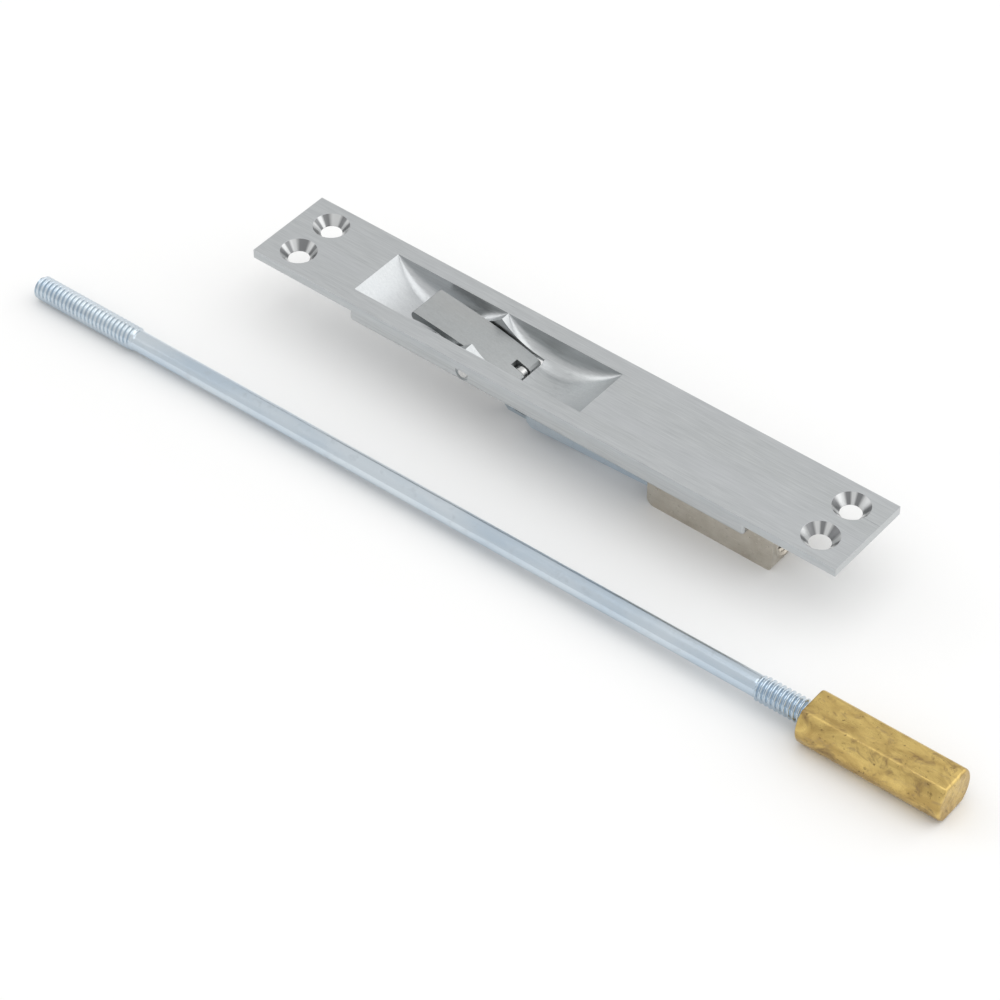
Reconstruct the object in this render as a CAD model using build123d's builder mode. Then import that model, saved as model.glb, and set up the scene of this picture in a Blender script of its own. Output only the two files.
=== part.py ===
from build123d import *
import math
import os

# Manual lever flush bolt with its loose extension rod and bolt head.
# Millimetres. Origin: centre of the front face of the face plate.
# +X along the plate towards the rod end, +Z out of the door edge.

# ---- face plate and housing ----
PLATE_L = 171.45
PLATE_W = 25.4
PLATE_T = 2.4
SCREW_DX = 154.0            # spacing of the screw holes along the plate
SCREW_DY = 12.1             # spacing across the plate
SCREW_R = 2.65              # through hole
SCREW_CS_R = 4.6            # countersink mouth
BODY_X0, BODY_X1 = -58.2, 58.7
BODY_HALF_W = 9.5
BODY_BOTTOM = -9.3

# ---- finger pocket: two scoops across the plate ----
POCKET_X0, POCKET_X1 = -57.5, 10.7
POCKET_HALF_W = 8.2
SCOOP_DEPTH = 6.6
POCKET_DRAFT = 0.2          # side wall lean, mm per mm of depth
BLEND = 0.7                 # corner radius between wall and floor, as a share of the depth
WINDOW_X0, WINDOW_X1 = -36.9, -10.4
WINDOW_HALF_W = 5.65
CAVITY_TOP = -5.9
CAVITY_HALF_W = 8.2

# ---- lever and its drive ----
PIVOT_X, PIVOT_Z = -23.4, -6.8
PIVOT_R = 1.5
RUN_FIT = 0.05              # radial clearance of a running fit
LEVER_HALF_W = 5.2
HUB_R = 3.8
CRANK_DX, CRANK_DZ = 10.19, -1.07
CRANK_R = 1.0
ROLLER_R = 1.9
FORK_HALF_GAP = 1.15        # slot in the lever's tail
TRAVEL = 19.05
SWING = 143.0               # lever swing that drives the travel, degrees
DETENT_X, DETENT_Z, DETENT_R = -34.8, -7.6, 0.8

# ---- slide: link, box, bushing ----
FLOOR_Z = -20.3             # lowest face of the slide
LINK_HALF_W = 4.2
LINK_X0, LINK_X1 = -8.0, 55.0
BOX_X0, BOX_X1 = 28.8, 64.3
BOX_TOP = -9.5
BOX_HALF_W = 5.5
BOX_T = 1.2
GUIDE_X = (31.5, 36.4)
GUIDE_SLOT_X0, GUIDE_SLOT_X1 = 29.9, 57.1
GUIDE_R = 1.4
TAP_Z = -14.75
TAP_R = 3.175               # 1/4-20 nominal radius
BUSHING_R = 3.95
BUSHING_X0 = 58.3
LINK_RIVET_X = (45.0, 52.0)
LINK_RIVET_Z = -14.9
LINK_RIVET_R = 1.2

# ---- extension rod and bolt head (their own axis is local X) ----
ROD_THREAD_R = 3.1
ROD_SHANK_R = 2.65
ROD_X0 = -131.0             # free end
THREAD1_X1 = -98.1
SHANK_X1 = 85.2
HEAD_X0, HEAD_X1 = 99.2, 136.7
HEAD_R = 6.35
HEAD_FLAT = 5.1             # half of the distance across the flats
HEAD_ENGAGE = 14.0          # thread length inside the head
ROD_MID_X = 0.5 * (ROD_X0 + HEAD_X1)
ROD_Y_LEFT, ROD_Y_RIGHT = -41.4, -39.6
ROD_Z_LEFT, ROD_Z_RIGHT = FLOOR_Z + 3.12, FLOOR_Z + 5.446   # rests on the thread and the heel of the tip

os.makedirs("parts", exist_ok=True)


def save(part, name):
    part.label = name
    export_step(part, "parts/" + name + ".step")


# Face plate, housing block, pocket and lever window in one piece.
scoop_chord = (POCKET_X1 - POCKET_X0) / 2
scoop_r = ((scoop_chord / 2) ** 2 + SCOOP_DEPTH ** 2) / (2 * SCOOP_DEPTH)
pocket_mid = (POCKET_X0 + POCKET_X1) / 2


def scoop_depth(u):
    """Depth of a scoop at distance u from its end."""
    return math.sqrt(scoop_r ** 2 - (u - scoop_chord / 2) ** 2) - (scoop_r - SCOOP_DEPTH)


def scoop_section(x, d):
    """Cross-section of a scoop: leaning walls that round into the floor."""
    r, top = BLEND * d, 2.0
    w0, w1 = POCKET_HALF_W + top * POCKET_DRAFT, POCKET_HALF_W - d * POCKET_DRAFT
    n = math.hypot(POCKET_DRAFT, 1)
    uy, uz = POCKET_DRAFT / n, 1 / n
    half = math.acos(-uy) / 2
    t, k = r / math.tan(half), r / math.sin(half)
    by, bz = uy - 1, uz
    bn = math.hypot(by, bz)
    wall = (w1 + uy * t, -d + uz * t)
    floor = (w1 - t, -d)
    middle = (w1 + by / bn * (k - r), -d + bz / bn * (k - r))
    with BuildSketch(Plane.YZ.offset(x)) as s:
        with BuildLine():
            Line((-w0, top), (-wall[0], wall[1]))
            ThreePointArc((-wall[0], wall[1]), (-middle[0], middle[1]), (-floor[0], floor[1]))
            Line((-floor[0], floor[1]), floor)
            ThreePointArc(floor, middle, wall)
            Line(wall, (w0, top))
            Line((w0, top), (-w0, top))
        make_face()
    return s.sketch


scoops = []
for scoop_x in (POCKET_X0, pocket_mid):
    with BuildPart() as scoop:
        for u in (0.0, 0.03, 0.08, 0.16, 0.26, 0.38, 0.5, 0.62, 0.74, 0.84, 0.92, 0.97, 1.0):
            add(scoop_section(scoop_x + u * scoop_chord, scoop_depth(u * scoop_chord) + 0.02))
        loft()
    scoops.append(scoop.part)

with BuildPart() as face_body:
    with BuildSketch(Plane.XY.offset(-PLATE_T)):
        Rectangle(PLATE_L, PLATE_W)
    extrude(amount=PLATE_T)
    with BuildSketch(Plane.XY.offset(BODY_BOTTOM)):
        with Locations(((BODY_X0 + BODY_X1) / 2, 0)):
            Rectangle(BODY_X1 - BODY_X0, 2 * BODY_HALF_W)
    extrude(amount=-BODY_BOTTOM - PLATE_T)
    # lower edges of the housing are eased
    fillet(face_body.edges().filter_by(Axis.X).group_by(Axis.Z)[0], 0.8)
    fillet(face_body.edges().filter_by(Axis.Z).filter_by(lambda e: abs(e.length - (-BODY_BOTTOM - PLATE_T)) < 1.2), 0.8)
    for scoop_part in scoops:
        add(scoop_part, mode=Mode.SUBTRACT)
    # lever window through the pocket floor
    with BuildSketch(Plane.XY.offset(BODY_BOTTOM - 1)):
        with Locations(((WINDOW_X0 + WINDOW_X1) / 2, 0)):
            Rectangle(WINDOW_X1 - WINDOW_X0, 2 * WINDOW_HALF_W)
    extrude(amount=12.0, mode=Mode.SUBTRACT)
    # wider hollow below the pocket walls
    with BuildSketch(Plane.XY.offset(BODY_BOTTOM - 1)):
        with Locations(((WINDOW_X0 + WINDOW_X1) / 2, 0)):
            Rectangle(WINDOW_X1 - WINDOW_X0, 2 * CAVITY_HALF_W)
    extrude(amount=CAVITY_TOP - (BODY_BOTTOM - 1), mode=Mode.SUBTRACT)
    # pivot pin holes in the side walls
    with Locations((PIVOT_X, 0, PIVOT_Z)):
        Cylinder(PIVOT_R, 2 * BODY_HALF_W + 2, rotation=(90, 0, 0), mode=Mode.SUBTRACT)
    for side in (-1, 1):
        with Locations((PIVOT_X, side * (BODY_HALF_W - 0.2), PIVOT_Z)):
            Cylinder(PIVOT_R + 0.45, 0.4, rotation=(90, 0, 0), mode=Mode.SUBTRACT)
    with Locations((DETENT_X, BODY_HALF_W, DETENT_Z)):
        Cylinder(DETENT_R, 4, rotation=(90, 0, 0), mode=Mode.SUBTRACT)
    # guide rivet holes, blind from below
    with Locations([(x, 0, BODY_BOTTOM + 2.0) for x in GUIDE_X]):
        Cylinder(GUIDE_R, 4.0, mode=Mode.SUBTRACT)
    # four countersunk screw holes
    with Locations([(sx * SCREW_DX / 2, sy * SCREW_DY / 2, 0) for sx in (-1, 1) for sy in (-1, 1)]):
        CounterSinkHole(SCREW_R, SCREW_CS_R, counter_sink_angle=82)
save(face_body.part, "face_body")

# Pivot pin, pressed in both side walls, slightly recessed, ends eased.
with BuildPart() as lever_pivot_pin:
    with Locations((PIVOT_X, 0, PIVOT_Z)):
        Cylinder(PIVOT_R, 2 * BODY_HALF_W - 0.2, rotation=(90, 0, 0))
    chamfer(lever_pivot_pin.edges().filter_by(GeomType.CIRCLE), 0.3)
save(lever_pivot_pin.part, "lever_pivot_pin")

# Lever: handle plate, hub and forked tail.
px, pz = PIVOT_X, PIVOT_Z
cx, cz = px + CRANK_DX, pz + CRANK_DZ
with BuildPart() as lever:
    with BuildSketch(Plane.XZ) as prof:
        with BuildLine():
            top = Spline((px - 18.3, pz + 6.25), (px - 6.2, pz + 4.75), (px, pz + 3.7), (px + 6.0, pz + 2.35), (px + 11.6, pz + 0.7))
            Line((px + 11.6, pz + 0.7), (px + 12.2, pz + 0.1))
            Line((px + 12.2, pz + 0.1), (px + 12.2, pz - 1.4))
            ThreePointArc((px + 12.2, pz - 1.4), (px + 11.2, pz - 3.1), (px + 9.2, pz - 3.35))
            Line((px + 9.2, pz - 3.35), (px + 1.2, pz - 3.61))
            ThreePointArc((px + 1.2, pz - 3.61), (px - 2.9, pz - 2.45), (px - 3.75, pz + 0.6))
            Spline((px - 3.75, pz + 0.6), (px - 6.6, pz + 2.3), (px - 18.3, pz + 3.95))
            ThreePointArc((px - 18.3, pz + 3.95), (px - 18.9, pz + 5.1), (px - 18.3, pz + 6.25))
        make_face()
    extrude(amount=LEVER_HALF_W, both=True)
    # slot between the two cheeks of the tail, open below the handle plate
    with BuildSketch(Plane.XZ) as slot:
        with BuildLine():
            Polyline(
                (px + 8.2, pz + 4.0), (px + 8.2, pz - 0.3), (px + 6.0, pz + 0.3),
                (px + 2.4, pz + 1.2), (px + 0.0, pz + 1.75), (px - 2.2, pz + 0.9), (px - 2.6, pz - 0.8), (px - 6.0, pz - 5.0),
                (px + 14.0, pz - 5.0), (px + 14.0, pz + 4.0), close=True)
        make_face()
    extrude(amount=FORK_HALF_GAP, both=True, mode=Mode.SUBTRACT)
    # bores for the pivot pin and the crank pin
    with Locations((px, 0, pz)):
        Cylinder(PIVOT_R + RUN_FIT, 2 * LEVER_HALF_W + 2, rotation=(90, 0, 0), mode=Mode.SUBTRACT)
    with Locations((cx, 0, cz)):
        Cylinder(CRANK_R, 2 * LEVER_HALF_W + 2, rotation=(90, 0, 0), mode=Mode.SUBTRACT)
save(lever.part, "lever")

# Crank pin pressed across the fork, and the roller that turns on it.
with BuildPart() as crank_pin:
    with Locations((cx, 0, cz)):
        Cylinder(CRANK_R, 2 * LEVER_HALF_W - 0.4, rotation=(90, 0, 0))
    chamfer(crank_pin.edges().filter_by(GeomType.CIRCLE), 0.2)
save(crank_pin.part, "crank_pin")

with BuildPart() as crank_roller:
    with Locations((cx, 0, cz)):
        Cylinder(ROLLER_R, 2.0, rotation=(90, 0, 0))
        Cylinder(CRANK_R + RUN_FIT, 4.0, rotation=(90, 0, 0), mode=Mode.SUBTRACT)
    chamfer(crank_roller.edges().filter_by(GeomType.CIRCLE).filter_by(lambda e: e.radius > 1.5), 0.25)
save(crank_roller.part, "crank_roller")

# Link: a bar under the housing with a hook plate that the roller drives.
with BuildPart() as slide_link:
    with BuildSketch(Plane.XZ):
        with BuildLine():
            Polyline(
                (LINK_X0 + 3.0, -12.0), (LINK_X0, -14.8), (LINK_X0, -16.9), (LINK_X0 + 1.4, -18.2), (28.0, -16.3), (LINK_X1, -16.3),
                (LINK_X1, -12.8), (27.5, -12.8), (24.0, -10.2), (7.0, -10.2), (4.0, -12.0), close=True)
        make_face()
    extrude(amount=LINK_HALF_W, both=True)
    fillet(slide_link.edges().filter_by(Axis.Y).group_by(Axis.Z)[0], 0.8)
    with BuildSketch(Plane.XZ):
        hook_l = cx - ROLLER_R - 0.6
        with BuildLine():
            Polyline(
                (hook_l, -8.7), (hook_l - 1.5, -8.7), (hook_l - 1.5, -19.2), (hook_l - 0.4, FLOOR_Z), (4.0, FLOOR_Z),
                (7.0, -17.0), (7.0, -12.5), (LINK_X0 + 3.0, -12.6), (LINK_X0 - 0.5, -15.2), (LINK_X0 - 0.5, -19.35), (hook_l, -19.35), close=True)
        make_face()
    extrude(amount=0.9, both=True)
    # lightening groove along the top of the bar
    with BuildSketch(Plane.XY.offset(-15.2)):
        with Locations((33.0, 0)):
            Rectangle(70.0, 5.0)
    extrude(amount=8.0, mode=Mode.SUBTRACT)
    for x in LINK_RIVET_X:
        with Locations((x, 0, LINK_RIVET_Z)):
            Cylinder(LINK_RIVET_R, 20, rotation=(90, 0, 0), mode=Mode.SUBTRACT)
save(slide_link.part, "slide_link")

# Box: folded sheet, open below and at the lever end.
with BuildPart() as slide_box:
    with BuildSketch(Plane.XZ) as side:
        with BuildLine():
            Polyline((BOX_X0, BOX_TOP), (BOX_X1, BOX_TOP), (BOX_X1, FLOOR_Z), (BOX_X0, FLOOR_Z), close=True)
        make_face()
        fillet(side.vertices().group_by(Axis.Y)[0].sort_by(Axis.X)[0], 2.2)
        fillet(side.vertices().group_by(Axis.Y)[0].sort_by(Axis.X)[-1], 1.2)
    extrude(amount=BOX_HALF_W, both=True)
    fillet(slide_box.edges().filter_by(Axis.X).group_by(Axis.Z)[-1], 0.9)
    # hollow
    with BuildSketch(Plane.XY.offset(FLOOR_Z - 1)):
        with Locations(((BOX_X0 - 2 + BOX_X1 - BOX_T) / 2, 0)):
            Rectangle(BOX_X1 - BOX_T - (BOX_X0 - 2), 2 * (BOX_HALF_W - BOX_T))
    extrude(amount=BOX_TOP - BOX_T - (FLOOR_Z - 1), mode=Mode.SUBTRACT)
    # slot for the guide rivets
    with BuildSketch(Plane.XY.offset(BOX_TOP - BOX_T - 1)):
        with Locations(((GUIDE_SLOT_X0 + GUIDE_SLOT_X1) / 2, 0)):
            SlotOverall(GUIDE_SLOT_X1 - GUIDE_SLOT_X0, 2 * (GUIDE_R + 0.1))
    extrude(amount=BOX_T + 2, mode=Mode.SUBTRACT)
    with Locations((BOX_X1, 0, TAP_Z)):
        Cylinder(BUSHING_R, 6, rotation=(0, 90, 0), mode=Mode.SUBTRACT)
    for x in LINK_RIVET_X:
        with Locations((x, 0, LINK_RIVET_Z)):
            Cylinder(LINK_RIVET_R, 20, rotation=(90, 0, 0), mode=Mode.SUBTRACT)
save(slide_box.part, "slide_box")

# Tapped bushing, pressed through the end wall and standing slightly proud.
with BuildPart() as rod_bushing:
    with BuildSketch(Plane.YZ.offset(BUSHING_X0)):
        with Locations((0, TAP_Z)):
            Circle(BUSHING_R)
            Circle(TAP_R, mode=Mode.SUBTRACT)
    extrude(amount=BOX_X1 + 0.25 - BUSHING_X0)
save(rod_bushing.part, "rod_bushing")

# Two rivets through box sides and link.
with BuildPart() as link_rivets:
    for x in LINK_RIVET_X:
        with Locations((x, 0, LINK_RIVET_Z)):
            Cylinder(LINK_RIVET_R, 2 * BOX_HALF_W, rotation=(90, 0, 0))
save(link_rivets.part, "link_rivets")

# Two shouldered guide rivets: shank in the housing, head inside the box.
with BuildPart() as guide_rivets:
    for x in GUIDE_X:
        with Locations((x, 0, (BODY_BOTTOM + 4.0 + BOX_TOP - BOX_T - 0.1) / 2)):
            Cylinder(GUIDE_R, BODY_BOTTOM + 4.0 - (BOX_TOP - BOX_T - 0.1))
        with Locations((x, 0, BOX_TOP - BOX_T - 0.1 - 0.55)):
            Cylinder(2.2, 1.1)
save(guide_rivets.part, "guide_rivets")

# Leaf spring beside the lever: flat on the far side wall, then cranked in
# to bear on the lever's cheek.
SPRING_T = 0.5
with BuildPart() as detent_spring:
    with BuildSketch(Plane.XY.offset(-9.0)):
        with BuildLine():
            Polyline(
                (-36.6, CAVITY_HALF_W), (-32.4, CAVITY_HALF_W), (-29.2, 6.05), (-27.6, 6.05), (-26.4, 6.9),
                (-26.1, 6.5), (-27.4, 5.55), (-29.4, 5.55), (-32.6, CAVITY_HALF_W - SPRING_T),
                (-36.6, CAVITY_HALF_W - SPRING_T), close=True)
        make_face()
    extrude(amount=2.7)
    with Locations((DETENT_X, CAVITY_HALF_W, DETENT_Z)):
        Cylinder(DETENT_R, 4, rotation=(90, 0, 0), mode=Mode.SUBTRACT)
save(detent_spring.part, "detent_spring")

# Rivet that holds the spring to the side wall.
with BuildPart() as detent_rivet:
    with Locations((DETENT_X, (BODY_HALF_W + 7.2) / 2, DETENT_Z)):
        Cylinder(DETENT_R, BODY_HALF_W - 7.2, rotation=(90, 0, 0))
    with Locations((DETENT_X, CAVITY_HALF_W - SPRING_T - 0.25, DETENT_Z)):
        Cylinder(1.25, 0.5, rotation=(90, 0, 0))
save(detent_rivet.part, "detent_rivet")

# Rod and bolt head lie beside the body; their axis leans by under half a degree.
yaw = math.degrees(math.atan2(ROD_Y_RIGHT - ROD_Y_LEFT, HEAD_X1 - ROD_X0))
tilt = -math.degrees(math.atan2(ROD_Z_RIGHT - ROD_Z_LEFT, HEAD_X1 - ROD_X0))
rod_place = Location((ROD_MID_X, (ROD_Y_LEFT + ROD_Y_RIGHT) / 2, (ROD_Z_LEFT + ROD_Z_RIGHT) / 2), (0, tilt, yaw))
half = (HEAD_X1 - ROD_X0) / 2


def local(x):
    return x - ROD_MID_X


with BuildPart() as extension_rod:
    with BuildSketch(Plane.XZ):
        with BuildLine():
            Polyline(
                (local(ROD_X0), 0), (local(ROD_X0), ROD_THREAD_R - 0.9), (local(ROD_X0) + 0.9, ROD_THREAD_R),
                (local(THREAD1_X1) - 1.0, ROD_THREAD_R), (local(THREAD1_X1), ROD_SHANK_R),
                (local(SHANK_X1), ROD_SHANK_R), (local(SHANK_X1) + 0.6, ROD_THREAD_R),
                (local(HEAD_X0) + HEAD_ENGAGE - 0.8, ROD_THREAD_R), (local(HEAD_X0) + HEAD_ENGAGE, ROD_THREAD_R - 0.8),
                (local(HEAD_X0) + HEAD_ENGAGE, 0), close=True)
        make_face()
    revolve(axis=Axis.X)
save(extension_rod.part.moved(rod_place), "extension_rod")

with BuildPart() as bolt_head:
    with BuildSketch(Plane.YZ.offset(local(HEAD_X0))) as dd:
        Circle(HEAD_R)
        Rectangle(2 * HEAD_R + 1, 2 * HEAD_FLAT, mode=Mode.INTERSECT)
    extrude(amount=HEAD_X1 - HEAD_X0)
    chamfer(bolt_head.faces().sort_by(Axis.X)[-1].edges(), 0.5)
    chamfer(bolt_head.faces().sort_by(Axis.X)[0].edges(), 0.5)
    with BuildSketch(Plane.YZ.offset(local(HEAD_X0) - 1)):
        Circle(ROD_THREAD_R + 0.05)
    extrude(amount=HEAD_ENGAGE + 1.5, mode=Mode.SUBTRACT)
save(bolt_head.part.moved(rod_place), "bolt_head")
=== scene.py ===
import math
import bpy
import numpy as np
from mathutils import Matrix, Vector


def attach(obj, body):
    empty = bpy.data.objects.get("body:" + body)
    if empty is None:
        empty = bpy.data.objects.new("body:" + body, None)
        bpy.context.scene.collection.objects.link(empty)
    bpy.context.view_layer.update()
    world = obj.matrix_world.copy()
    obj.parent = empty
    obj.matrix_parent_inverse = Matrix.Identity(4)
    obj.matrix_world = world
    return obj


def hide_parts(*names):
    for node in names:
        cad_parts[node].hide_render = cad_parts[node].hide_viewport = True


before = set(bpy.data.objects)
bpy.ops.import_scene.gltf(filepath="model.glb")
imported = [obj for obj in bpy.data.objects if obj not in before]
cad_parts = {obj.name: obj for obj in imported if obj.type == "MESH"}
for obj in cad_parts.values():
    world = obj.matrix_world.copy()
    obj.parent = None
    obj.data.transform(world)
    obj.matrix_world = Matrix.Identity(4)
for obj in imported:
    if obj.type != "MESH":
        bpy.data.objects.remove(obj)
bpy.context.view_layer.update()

MM = 0.001
scene = bpy.context.scene

# ---------------------------------------------------------------- camera
cam_data = bpy.data.cameras.new("camera")
cam_data.sensor_width = 36.0
cam_data.lens = 129.734
cam_data.clip_start, cam_data.clip_end = 0.05, 20.0
cam = bpy.data.objects.new("camera", cam_data)
scene.collection.objects.link(cam)
right = Vector((0.78032126, 0.62535031, 0.0059766))
down = Vector((0.44228019, -0.5450767, -0.71223565))
ahead = Vector((-0.44213908, 0.55841595, -0.70191499))
cam.matrix_world = Matrix((
    (right.x, -down.x, -ahead.x, 0.37294317),
    (right.y, -down.y, -ahead.y, -0.49511812),
    (right.z, -down.z, -ahead.z, 0.56905614),
    (0, 0, 0, 1)))
scene.camera = cam


# ---------------------------------------------------------------- node helpers
class Mat:
    """A node material with a few short-hands."""

    def __init__(self, name, metallic=1.0):
        self.m = bpy.data.materials.new(name)
        self.m.use_nodes = True
        self.t = self.m.node_tree
        self.t.nodes.clear()
        self.out = self.t.nodes.new("ShaderNodeOutputMaterial")
        self.bsdf = self.t.nodes.new("ShaderNodeBsdfPrincipled")
        self.t.links.new(self.bsdf.outputs[0], self.out.inputs[0])
        self.bsdf.inputs["Metallic"].default_value = metallic
        self.coord = self.t.nodes.new("ShaderNodeTexCoord")

    def link(self, a, b):
        self.t.links.new(a, b)

    def mapping(self, scale, rot=(0, 0, 0), loc=(0, 0, 0)):
        n = self.t.nodes.new("ShaderNodeMapping")
        n.inputs["Scale"].default_value = scale
        n.inputs["Rotation"].default_value = rot
        n.inputs["Location"].default_value = loc
        self.link(self.coord.outputs["Object"], n.inputs["Vector"])
        return n.outputs[0]

    def noise(self, scale=(1000, 1000, 1000), detail=3.0, rough=0.5, loc=(0, 0, 0), rot=(0, 0, 0), distortion=0.0):
        n = self.t.nodes.new("ShaderNodeTexNoise")
        n.inputs["Scale"].default_value = 1.0
        n.inputs["Detail"].default_value = detail
        n.inputs["Roughness"].default_value = rough
        n.inputs["Distortion"].default_value = distortion
        self.link(self.mapping(scale, rot, loc), n.inputs["Vector"])
        return n.outputs["Fac"]

    def voronoi(self, scale, loc=(0, 0, 0), feature="F1", rot=(0, 0, 0)):
        n = self.t.nodes.new("ShaderNodeTexVoronoi")
        n.feature = feature
        n.inputs["Scale"].default_value = 1.0
        self.link(self.mapping(scale, rot, loc), n.inputs["Vector"])
        return n.outputs["Distance"]

    def ramp(self, fac, stops):
        n = self.t.nodes.new("ShaderNodeValToRGB")
        cr = n.color_ramp
        while len(cr.elements) < len(stops):
            cr.elements.new(0.5)
        for e, (p, c) in zip(cr.elements, stops):
            e.position = p
            e.color = (c, c, c, 1) if isinstance(c, (int, float)) else (*c, 1)
        self.link(fac, n.inputs[0])
        return n.outputs[0]

    def range(self, fac, lo, hi, a=0.0, b=1.0):
        n = self.t.nodes.new("ShaderNodeMapRange")
        n.inputs["From Min"].default_value = a
        n.inputs["From Max"].default_value = b
        n.inputs["To Min"].default_value = lo
        n.inputs["To Max"].default_value = hi
        self.link(fac, n.inputs["Value"])
        return n.outputs[0]

    def math(self, op, a, b):
        n = self.t.nodes.new("ShaderNodeMath")
        n.operation = op
        for k, v in enumerate((a, b)):
            if isinstance(v, (int, float)):
                n.inputs[k].default_value = v
            else:
                self.link(v, n.inputs[k])
        return n.outputs[0]

    def mix(self, fac, a, b, blend="MIX"):
        n = self.t.nodes.new("ShaderNodeMix")
        n.data_type = "RGBA"
        n.blend_type = blend
        if isinstance(fac, (int, float)):
            n.inputs[0].default_value = fac
        else:
            self.link(fac, n.inputs[0])
        for k, v in ((6, a), (7, b)):
            if isinstance(v, tuple):
                n.inputs[k].default_value = (*v, 1)
            else:
                self.link(v, n.inputs[k])
        return n.outputs[2]

    def bump(self, height, strength, distance, normal=None):
        n = self.t.nodes.new("ShaderNodeBump")
        n.inputs["Strength"].default_value = strength
        n.inputs["Distance"].default_value = distance
        self.link(height, n.inputs["Height"])
        if normal is not None:
            self.link(normal, n.inputs["Normal"])
        return n.outputs[0]

    def color(self, c):
        self.link(c, self.bsdf.inputs["Base Color"])

    def rough(self, r):
        self.link(r, self.bsdf.inputs["Roughness"])

    def normal(self, n):
        self.link(n, self.bsdf.inputs["Normal"])


def satin_chrome():
    k = Mat("satin_chrome")
    fine = k.noise((150, 5200, 5200), 4, 0.62)
    mid = k.noise((70, 1700, 1700), 3, 0.55, loc=(3, 1, 7))
    broad = k.noise((18, 90, 60), 2, 0.5, loc=(5, 5, 1))
    streak = k.math("ADD", k.math("MULTIPLY", fine, 0.6), k.math("MULTIPLY", mid, 0.4))
    tone = k.range(streak, 0.0, 1.0, 0.30, 0.70)
    base = k.mix(tone, (0.455, 0.475, 0.482), (0.640, 0.658, 0.662))
    base = k.mix(k.range(broad, 0.0, 0.35, 0.35, 0.7), base, (0.60, 0.615, 0.64))
    # turned walls of the four countersinks: painted highlights and painted shade as bright and dark rays around each
    # hole, standing in for reflections off the turning marks; the same ray pattern in every hole
    xyz = k.t.nodes.new("ShaderNodeSeparateXYZ")
    k.link(k.coord.outputs["Object"], xyz.inputs[0])
    hx = k.math("SUBTRACT", k.math("ABSOLUTE", xyz.outputs[0], 0.0), 0.0770)
    hy = k.math("SUBTRACT", k.math("ABSOLUTE", xyz.outputs[1], 0.0), 0.00605)
    dist = k.math("SQRT", k.math("ADD", k.math("MULTIPLY", hx, hx), k.math("MULTIPLY", hy, hy)), 0.0)
    cone = k.math("MULTIPLY", k.math("LESS_THAN", dist, 0.00459), k.math("LESS_THAN", xyz.outputs[2], -0.00003))
    cone = k.math("MULTIPLY", cone, k.math("GREATER_THAN", xyz.outputs[2], -0.00235))
    ang = k.math("ARCTAN2", hy, hx)
    ray = k.math("SINE", k.math("ADD", k.math("MULTIPLY", ang, 7.0), k.math("MULTIPLY", k.math("SINE", k.math("MULTIPLY", ang, 3.0), 0.0), 1.1)), 0.0)
    # painted reflection: dark and bright rays in place of the plate colour inside each countersink
    painted_ray_light = k.mix(k.range(ray, 0.0, 1.0, -0.55, 0.65), (0.235, 0.240, 0.245), (0.66, 0.67, 0.67))
    k.color(k.mix(cone, base, painted_ray_light))
    k.rough(k.range(streak, 0.27, 0.41, 0.3, 0.7))
    k.normal(k.bump(streak, 0.36, 0.00008))
    return k.m


def lever_metal():
    k = Mat("lever_metal")
    grain = k.noise((2600, 2600, 2600), 4, 0.6)
    brush = k.noise((260, 2600, 2600), 3, 0.55, loc=(2, 4, 1))
    broad = k.noise((60, 110, 80), 3, 0.5, loc=(1, 3, 5))
    s = k.math("ADD", k.math("MULTIPLY", grain, 0.5), k.math("MULTIPLY", brush, 0.5))
    base = k.mix(k.range(s, 0, 1, 0.3, 0.7), (0.385, 0.400, 0.402), (0.475, 0.492, 0.495))
    base = k.mix(k.range(broad, 0.0, 0.4, 0.4, 0.7), base, (0.455, 0.455, 0.445))
    k.color(base)
    k.rough(k.range(s, 0.36, 0.48, 0.3, 0.7))
    k.normal(k.bump(s, 0.22, 0.00006))
    return k.m


def zinc(name="zinc_rod"):
    k = Mat(name)
    draw = k.noise((60, 2600, 2600), 3, 0.6)
    spots = k.noise((420, 420, 420), 4, 0.6, loc=(9, 2, 4))
    cloud = k.noise((40, 160, 160), 3, 0.5, loc=(1, 8, 3))
    base = k.mix(k.range(cloud, 0, 1, 0.35, 0.65), (0.545, 0.635, 0.720), (0.66, 0.725, 0.775))
    base = k.mix(k.range(spots, 0.0, 0.45, 0.56, 0.72), base, (0.50, 0.55, 0.60))
    k.color(base)
    k.rough(k.range(k.math("ADD", k.math("MULTIPLY", draw, 0.6), k.math("MULTIPLY", spots, 0.4)), 0.13, 0.27, 0.3, 0.7))
    k.normal(k.bump(draw, 0.16, 0.00006))
    return k.m


def nickel():
    k = Mat("nickel_plate")
    roll = k.noise((900, 2400, 500), 4, 0.6)
    cloud = k.noise((110, 200, 140), 4, 0.6, loc=(3, 3, 9))
    scratch = k.voronoi((90, 900, 1500), rot=(0.0, 0.5, 0.2), feature="DISTANCE_TO_EDGE")
    pits = k.noise((1500, 1500, 1500), 3, 0.7, loc=(7, 1, 2))
    base = k.mix(k.range(cloud, 0, 1, 0.35, 0.66), (0.50, 0.46, 0.395), (0.62, 0.585, 0.52))
    base = k.mix(k.range(pits, 0.0, 0.75, 0.62, 0.74), base, (0.26, 0.23, 0.19))
    line = k.range(scratch, 1.0, 0.0, 0.0, 0.02)
    base = k.mix(k.math("MULTIPLY", line, 0.35), base, (0.80, 0.77, 0.70))
    k.color(base)
    k.rough(k.range(roll, 0.26, 0.46, 0.3, 0.7))
    b = k.bump(roll, 0.25, 0.00006)
    k.normal(k.bump(line, 0.2, 0.00004, b))
    return k.m


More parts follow.
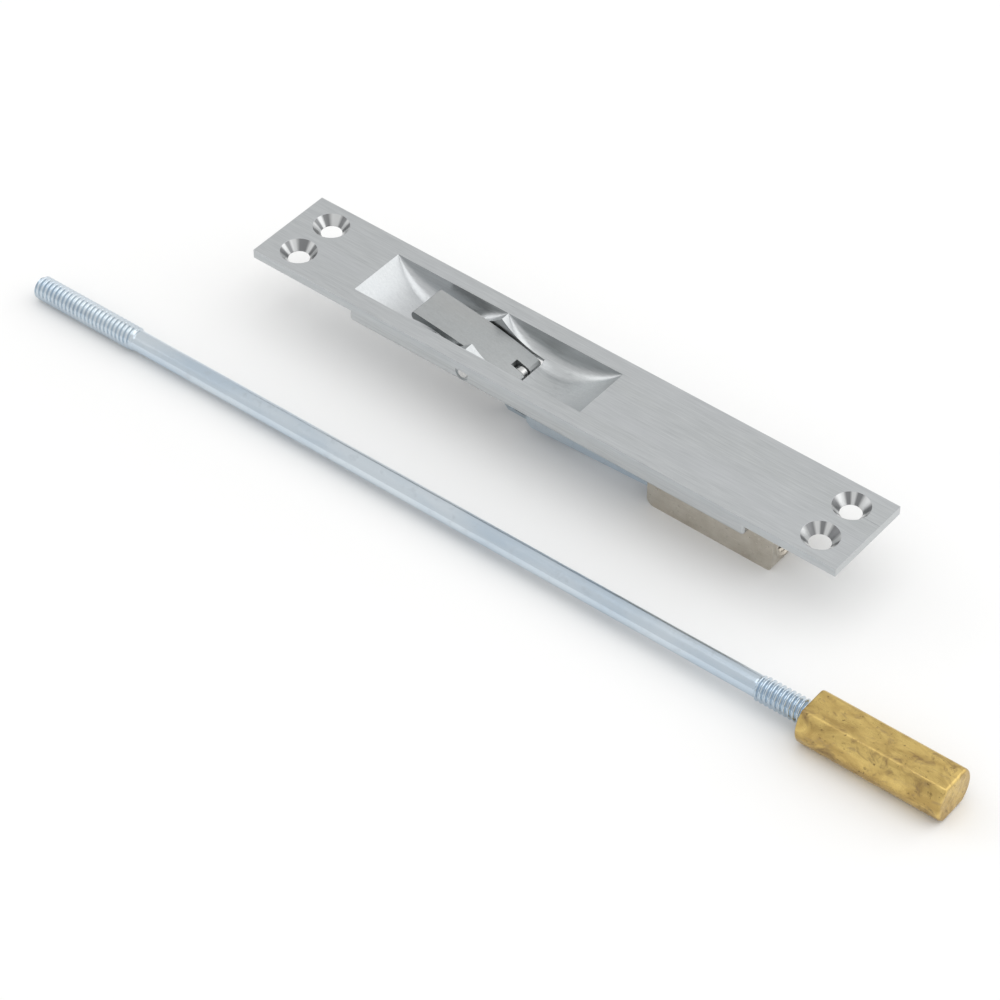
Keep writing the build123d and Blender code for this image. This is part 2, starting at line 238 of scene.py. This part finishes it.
def brass():
    k = Mat("brass")
    draw = k.noise((90, 1500, 1500), 4, 0.6)
    cloud = k.noise((120, 230, 230), 5, 0.62, loc=(2, 7, 1), distortion=0.8)
    smear = k.noise((170, 300, 260), 6, 0.68, loc=(4, 1, 8), rot=(0, 0, 0.5), distortion=0.9)
    band = k.noise((260, 700, 560), 5, 0.65, loc=(8, 3, 2), rot=(0.2, 0, -0.35), distortion=0.5)
    spots = k.noise((900, 900, 900), 3, 0.6, loc=(5, 5, 5))
    base = k.mix(k.range(cloud, 0, 1, 0.38, 0.62), (0.47, 0.325, 0.115), (0.70, 0.515, 0.185))
    base = k.mix(k.range(smear, 0.0, 0.85, 0.54, 0.70), base, (0.25, 0.165, 0.085))
    base = k.mix(k.range(band, 0.0, 0.55, 0.56, 0.68), base, (0.36, 0.255, 0.135))
    base = k.mix(k.range(spots, 0.0, 0.75, 0.62, 0.72), base, (0.16, 0.105, 0.05))
    k.color(base)
    r = k.math("ADD", k.math("MULTIPLY", smear, 0.6), k.math("MULTIPLY", draw, 0.4))
    k.rough(k.range(r, 0.20, 0.50, 0.35, 0.65))
    b = k.bump(draw, 0.20, 0.00007)
    k.normal(k.bump(cloud, 0.14, 0.0003, b))
    return k.m


def plain_steel(name, base_lo, base_hi, r_lo, r_hi):
    k = Mat(name)
    turn = k.noise((1400, 3200, 1400), 3, 0.6)
    cloud = k.noise((300, 300, 300), 3, 0.5, loc=(3, 1, 2))
    k.color(k.mix(k.range(cloud, 0, 1, 0.35, 0.65), base_lo, base_hi))
    k.rough(k.range(turn, r_lo, r_hi, 0.3, 0.7))
    k.normal(k.bump(turn, 0.2, 0.00005))
    return k.m


M_CHROME = satin_chrome()
M_LEVER = lever_metal()
M_ZROD = zinc("zinc_rod")
M_ZLINK = zinc("zinc_plate")
M_NICKEL = nickel()
M_BRASS = brass()
M_PIN = plain_steel("pin_steel", (0.60, 0.60, 0.59), (0.72, 0.72, 0.71), 0.20, 0.34)
M_SPRING = plain_steel("spring_steel", (0.36, 0.36, 0.36), (0.46, 0.46, 0.45), 0.25, 0.4)

NODE_MAT = {
    "face_body": M_CHROME, "lever": M_LEVER, "lever_pivot_pin": M_PIN, "crank_pin": M_PIN,
    "crank_roller": M_PIN, "slide_link": M_ZLINK, "slide_box": M_NICKEL, "rod_bushing": M_NICKEL,
    "link_rivets": M_NICKEL, "guide_rivets": M_PIN, "detent_spring": M_SPRING, "detent_rivet": M_PIN,
    "extension_rod": M_ZROD, "bolt_head": M_BRASS,
}
for name, mat in NODE_MAT.items():
    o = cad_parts[name]
    if not o.material_slots:
        o.data.materials.append(mat)
    for s in o.material_slots:
        s.material = mat


# ---------------------------------------------------------------- mesh helpers
def mesh_object(name, verts, faces, mat, smooth=True, flat_angle=None):
    me = bpy.data.meshes.new(name)
    me.from_pydata([tuple(v) for v in verts], [], faces)
    me.validate()
    me.update()
    o = bpy.data.objects.new(name, me)
    scene.collection.objects.link(o)
    me.materials.append(mat)
    if smooth:
        for p in me.polygons:
            p.use_smooth = True
    if flat_angle is not None:
        me.set_sharp_from_angle(angle=math.radians(flat_angle))
    return o


# The rod's own frame: the same placement as the CAD rod.
ROD_X0, THREAD1_X1, SHANK_X1 = -131.0, -98.1, 85.2
HEAD_X0, HEAD_X1 = 99.2, 136.7
R_TH, R_SH = 3.1, 2.65
PITCH = 1.27
FLOOR = -20.3
_mid = Vector((0.5 * (ROD_X0 + HEAD_X1), -40.5, FLOOR + 4.283))
_yaw = math.atan2(1.8, HEAD_X1 - ROD_X0)
_tilt = -math.atan2(2.326, HEAD_X1 - ROD_X0)
ROD_M = Matrix.Translation(_mid) @ Matrix.Rotation(_tilt, 4, "Y") @ Matrix.Rotation(_yaw, 4, "Z") @ Matrix.Translation((-_mid.x, 0, 0))


def rod_space(pts):
    """Points (station x, local y, local z) in mm to row frame in metres."""
    a = np.asarray(pts, float)
    m = np.array(ROD_M)
    return (a @ m[:3, :3].T + m[:3, 3]) * MM


def thread_r(x, th, major, depth, pitch, hand=1.0):
    ph = (x / pitch - hand * th / (2 * math.pi)) % 1.0
    t = np.abs(2 * ph - 1)                     # 0 at the crest, 1 at the root
    t = np.clip((t - 0.13) / 0.70, 0, 1)
    t = t * t * (3 - 2 * t) * 0.35 + t * 0.65     # slightly eased flanks
    return major - depth * t


def smooth01(x):
    x = np.clip(x, 0, 1)
    return x * x * (3 - 2 * x)


def tube(stations, radius, n):
    """Rings of n points. radius(x, theta) in mm."""
    th = np.linspace(0, 2 * math.pi, n, endpoint=False)
    rows = []
    for x in stations:
        r = radius(x, th)
        rows.append(np.stack([np.full(n, x), r * np.cos(th), r * np.sin(th)], 1))
    return np.concatenate(rows), th


def tube_faces(rows, n, cap0=True, cap1=True, base=0):
    f = []
    for i in range(rows - 1):
        a = base + i * n
        for j in range(n):
            k = (j + 1) % n
            f.append((a + j, a + n + j, a + n + k, a + k))
    extra = []
    if cap0:
        extra.append(("c0", base))
    if cap1:
        extra.append(("c1", base + (rows - 1) * n))
    return f, extra


def rod_radius(x, th):
    # threads at both ends, plain drawn shank between them
    r_t = thread_r(x, th, R_TH, 0.74, PITCH)
    w1 = 1 - smooth01((x - (THREAD1_X1 - 1.6)) / 1.6)
    w2 = smooth01((x - SHANK_X1) / 1.3)
    w = max(float(w1), float(w2))
    r = R_SH + w * (r_t - R_SH)
    # chamfered, slightly domed free end
    d = x - ROD_X0
    env = 2.05 + 1.05 * math.sqrt(max(0.0, min(1.0, 1 - (1 - min(d / 1.1, 1)) ** 2)))
    r = np.minimum(r, env) if d < 1.2 else r
    d2 = (HEAD_X0 + 14.0) - x
    if d2 < 1.0:
        r = np.minimum(r, 2.3 + 0.8 * d2)
    return np.minimum(r, R_TH)


def make_rod():
    n = 72
    st = list(np.arange(ROD_X0, ROD_X0 + 1.2, 0.1))
    st += list(np.arange(ROD_X0 + 1.2, THREAD1_X1, PITCH / 11))
    st += list(np.linspace(THREAD1_X1, THREAD1_X1 + 0.4, 3))
    st += list(np.linspace(THREAD1_X1 + 4, SHANK_X1 - 4, 60))
    st += list(np.linspace(SHANK_X1 - 0.4, SHANK_X1, 3))
    st += list(np.arange(SHANK_X1 + 0.1, HEAD_X0 + 3.0, PITCH / 11))
    st += list(np.linspace(HEAD_X0 + 3.1, HEAD_X0 + 14.0, 30))
    v, th = tube(st, rod_radius, n)
    f, _ = tube_faces(len(st), n)
    v = list(map(tuple, v))
    # end faces as fans with one inner ring each, the free end domed
    for x, base, rev, dome in ((ROD_X0, 0, False, 0.12), (st[-1], (len(st) - 1) * n, True, 0.0)):
        inner = len(v)
        r0 = 1.1
        for t in th:
            v.append((x - dome * 0.6, r0 * math.cos(t), r0 * math.sin(t)))
        c = len(v)
        v.append((x - dome, 0, 0))
        for j in range(n):
            k = (j + 1) % n
            q = (base + j, base + k, inner + k, inner + j)
            tri = (inner + j, inner + k, c)
            f.append(q[::-1] if rev else q)
            f.append(tri[::-1] if rev else tri)
    v = np.asarray(v)
    v[:, 0] = np.maximum(v[:, 0], ROD_X0)
    return mesh_object("rod_with_threads", rod_space(v), f, M_ZROD, True, 50)


def dd_outline(inset, rho, n_arc=26, n_cor=8, n_flat=9, R=6.35, H=5.1):
    """Double-D outline in (y, z), inset evenly; rho is the corner round."""
    rc, hc = R - rho, H - rho
    xc = math.sqrt(rc * rc - hc * hc)
    ang = math.atan2(hc, xc)
    rr = rho - inset
    pts = []
    for s in (1, -1):
        # main arc on the +y side then the -y side
        for t in np.linspace(-ang, ang, n_arc):
            a = t if s == 1 else math.pi + t
            pts.append(((R - inset) * math.cos(a), (R - inset) * math.sin(a)))
        cx, cz = (xc, hc) if s == 1 else (-xc, -hc)
        a0 = ang if s == 1 else math.pi + ang
        a1 = math.pi / 2 if s == 1 else 1.5 * math.pi
        for t in np.linspace(a0, a1, n_cor)[1:]:
            pts.append((cx + rr * math.cos(t), cz + rr * math.sin(t)))
        xs = np.linspace(xc, -xc, n_flat)[1:-1] if s == 1 else np.linspace(-xc, xc, n_flat)[1:-1]
        zf = (H - inset) if s == 1 else -(H - inset)
        for x in xs:
            pts.append((x, zf))
        cx, cz = (-xc, hc) if s == 1 else (xc, -hc)
        a0 = math.pi / 2 if s == 1 else 1.5 * math.pi
        a1 = math.pi - ang if s == 1 else 2 * math.pi - ang
        for t in np.linspace(a0, a1, n_cor)[:-1]:
            pts.append((cx + rr * math.cos(t), cz + rr * math.sin(t)))
    return pts


def make_head():
    re = 0.65
    left = [(HEAD_X0 + re * (1 - math.sin(a)), re * (1 - math.cos(a))) for a in np.linspace(math.pi / 2, 0, 7)]
    rightr = [(HEAD_X1 - re * (1 - math.sin(a)), re * (1 - math.cos(a))) for a in np.linspace(0, math.pi / 2, 7)]
    secs = left + [(x, 0.0) for x in np.linspace(HEAD_X0 + re, HEAD_X1 - re, 24)[1:-1]] + rightr
    rho = 0.85
    v, n = [], None
    for x, ins in secs:
        ring = dd_outline(min(ins, rho - 0.02), rho)
        n = len(ring)
        v += [(x, y, z) for y, z in ring]
    f = []
    for i in range(len(secs) - 1):
        a = i * n
        for j in range(n):
            k = (j + 1) % n
            f.append((a + j, a + k, a + n + k, a + n + j))
    # tip face: rings that close on the centre
    base = (len(secs) - 1) * n
    prev = base
    for s in (0.75, 0.45, 0.15):
        cur = len(v)
        for j in range(n):
            x, y, z = v[base + j]
            v.append((HEAD_X1, y * s, z * s))
        for j in range(n):
            k = (j + 1) % n
            f.append((prev + j, prev + k, cur + k, cur + j))
        prev = cur
    c = len(v)
    v.append((HEAD_X1, 0, 0))
    for j in range(n):
        f.append((prev + j, prev + (j + 1) % n, c))
    # rod end: face in to the chamfered mouth of the bore
    prev = 0
    ang = [math.atan2(v[j][2], v[j][1]) for j in range(n)]
    for x, r in ((HEAD_X0, 3.55), (HEAD_X0 + 0.4, 3.15), (HEAD_X0 + 3.5, 3.15)):
        cur = len(v)
        for j in range(n):
            v.append((x, r * math.cos(ang[j]), r * math.sin(ang[j])))
        for j in range(n):
            k = (j + 1) % n
            f.append((prev + k, prev + j, cur + j, cur + k))
        prev = cur
    c = len(v)
    v.append((HEAD_X0 + 3.5, 0, 0))
    for j in range(n):
        f.append((prev + (j + 1) % n, prev + j, c))
    return mesh_object("brass_tip", rod_space(v), f, M_BRASS, True, 35)


def make_bushing():
    x0, x1, zc = 58.3, 64.55, -14.75
    n = 96
    th = np.linspace(0, 2 * math.pi, n, endpoint=False)
    prof = []     # rings: (x, radius array)

    def ring(x, r):
        r = np.full(n, r) if np.isscalar(r) else r
        prof.append((x, r))

    # outer wall from inside to outside, rounded mouth, then the thread inwards
    ring(x0, 3.6)
    ring(x0, 3.8)
    ring(x0 + 0.15, 3.95)
    ring(x1 - 0.22, 3.95)
    for a in np.linspace(0, math.pi / 2, 5)[1:]:
        ring(x1 - 0.22 + 0.22 * math.sin(a), 3.73 + 0.22 * math.cos(a))
    ring(x1, 3.45)
    ring(x1 - 0.35, 3.05)
    for x in np.arange(x1 - 0.45, x0 + 0.1, -PITCH / 10):
        ring(x, 2.62 + 0.52 * (1 - np.clip((np.abs(2 * ((x / PITCH - th / (2 * math.pi)) % 1.0) - 1) - 0.1) / 0.75, 0, 1)))
    ring(x0, 3.1)
    v, f = [], []
    for x, r in prof:
        for t, rr in zip(th, r):
            v.append((x * MM, rr * math.cos(t) * MM, (zc + rr * math.sin(t)) * MM))
    m = len(prof)
    for i in range(m):
        a, b = i * n, ((i + 1) % m) * n
        for j in range(n):
            k = (j + 1) % n
            f.append((a + j, a + k, b + k, b + j))
    return mesh_object("bushing_with_thread", v, f, M_NICKEL, True, 40)


rod = make_rod()
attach(rod, "rod")
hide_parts("extension_rod")
head = make_head()
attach(head, "bolt")
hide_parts("bolt_head")
bush = make_bushing()
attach(bush, "slide")
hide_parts("rod_bushing")

# consistent outward normals on the made pieces
import bmesh
for o in (rod, head, bush):
    bm = bmesh.new()
    bm.from_mesh(o.data)
    bmesh.ops.recalc_face_normals(bm, faces=bm.faces)
    bm.to_mesh(o.data)
    bm.free()

# ---------------------------------------------------------------- floor, light
fl = bpy.data.meshes.new("floor")
S = 3.0
zf = FLOOR * MM
fl.from_pydata([(-S, -S, zf), (S, -S, zf), (S, S, zf), (-S, S, zf)], [], [(0, 1, 2, 3)])
floor = bpy.data.objects.new("floor", fl)
scene.collection.objects.link(floor)
kf = Mat("floor_white", 0.0)
kf.bsdf.inputs["Base Color"].default_value = (0.93, 0.93, 0.925, 1)
kf.bsdf.inputs["Roughness"].default_value = 0.9
kf.bsdf.inputs["Specular IOR Level"].default_value = 0.1
fl.materials.append(kf.m)

world = bpy.data.worlds.new("world")
scene.world = world
world.use_nodes = True
bg = world.node_tree.nodes["Background"]
bg.inputs[0].default_value = (1.0, 1.0, 1.0, 1)
bg.inputs[1].default_value = 0.80


def area(name, loc, target, size, size_y, power, color=(1, 1, 1)):
    d = bpy.data.lights.new(name, "AREA")
    d.shape = "RECTANGLE"
    d.size, d.size_y = size, size_y
    d.energy = power
    d.color = color
    o = bpy.data.objects.new(name, d)
    scene.collection.objects.link(o)
    o.location = loc
    o.rotation_mode = "QUATERNION"
    o.rotation_quaternion = (Vector(target) - Vector(loc)).to_track_quat("-Z", "Y")
    return o


area("key", (0.95, 0.85, 0.75), (0, 0, 0), 1.9, 1.45, 6.4)
area("top", (0.15, 0.0, 1.4), (0, 0, 0), 1.3, 1.2, 4.2)
area("left", (-1.2, -0.35, 0.75), (0, 0, 0), 0.9, 0.5, 1.5)

scene.view_settings.view_transform = "Standard"
scene.view_settings.look = "None"
scene.view_settings.exposure = 0.0
scene.view_settings.gamma = 1.0
